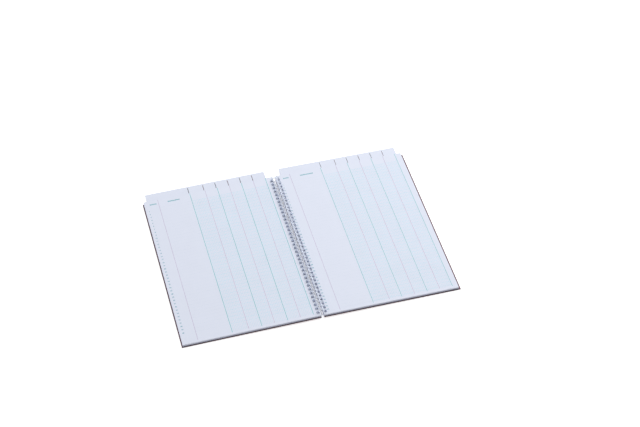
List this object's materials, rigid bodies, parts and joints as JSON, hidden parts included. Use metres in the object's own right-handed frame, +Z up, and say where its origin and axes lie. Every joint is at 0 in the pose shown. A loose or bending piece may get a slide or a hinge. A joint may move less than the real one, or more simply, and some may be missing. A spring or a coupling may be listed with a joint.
{
  "type": "columnar ledger",
  "caption": "Open columnar ledger bound with twin-loop wire: ruled leaves on both sides with taller header leaves beneath, between thin card covers.",
  "frame": {"origin": "centre of the open book's footprint, on the table it lies on", "axes": "+X across the two open pages to the right, +Y up the page to the header leaves, +Z up from the table; the binding wire's centre line runs along Y at x = 0"},
  "size_m": [0.463, 0.342, 0.0166],
  "materials": {
    "cover": "matte burgundy cover card",
    "paper": "smooth white ledger paper with fine ruling",
    "wire": "bright silver-coated wire"
  },
  "bodies": {
    "back": {"back_cover": "cover", "binding_wire": "wire"},
    "left_pages": {"left_pages": "paper"},
    "right_pages": {"right_pages": "paper"},
    "front": {"front_cover": "cover"}
  },
  "joints": [
    {"name": "left_turn", "type": "hinge", "parent": "back", "child": "left_pages", "pos_m": [0, 0, 0.00834], "axis": [0, 1, 0], "range_deg": [0, 181.05]},
    {"name": "right_turn", "type": "hinge", "parent": "back", "child": "right_pages", "pos_m": [0, 0, 0.00834], "axis": [0, -1, 0], "range_deg": [0, 181.05]},
    {"name": "front_swing", "type": "hinge", "parent": "left_pages", "child": "front", "pos_m": [0, 0, 0.00834], "axis": [0, -1, 0], "range_deg": [0, 25]}
  ]
}
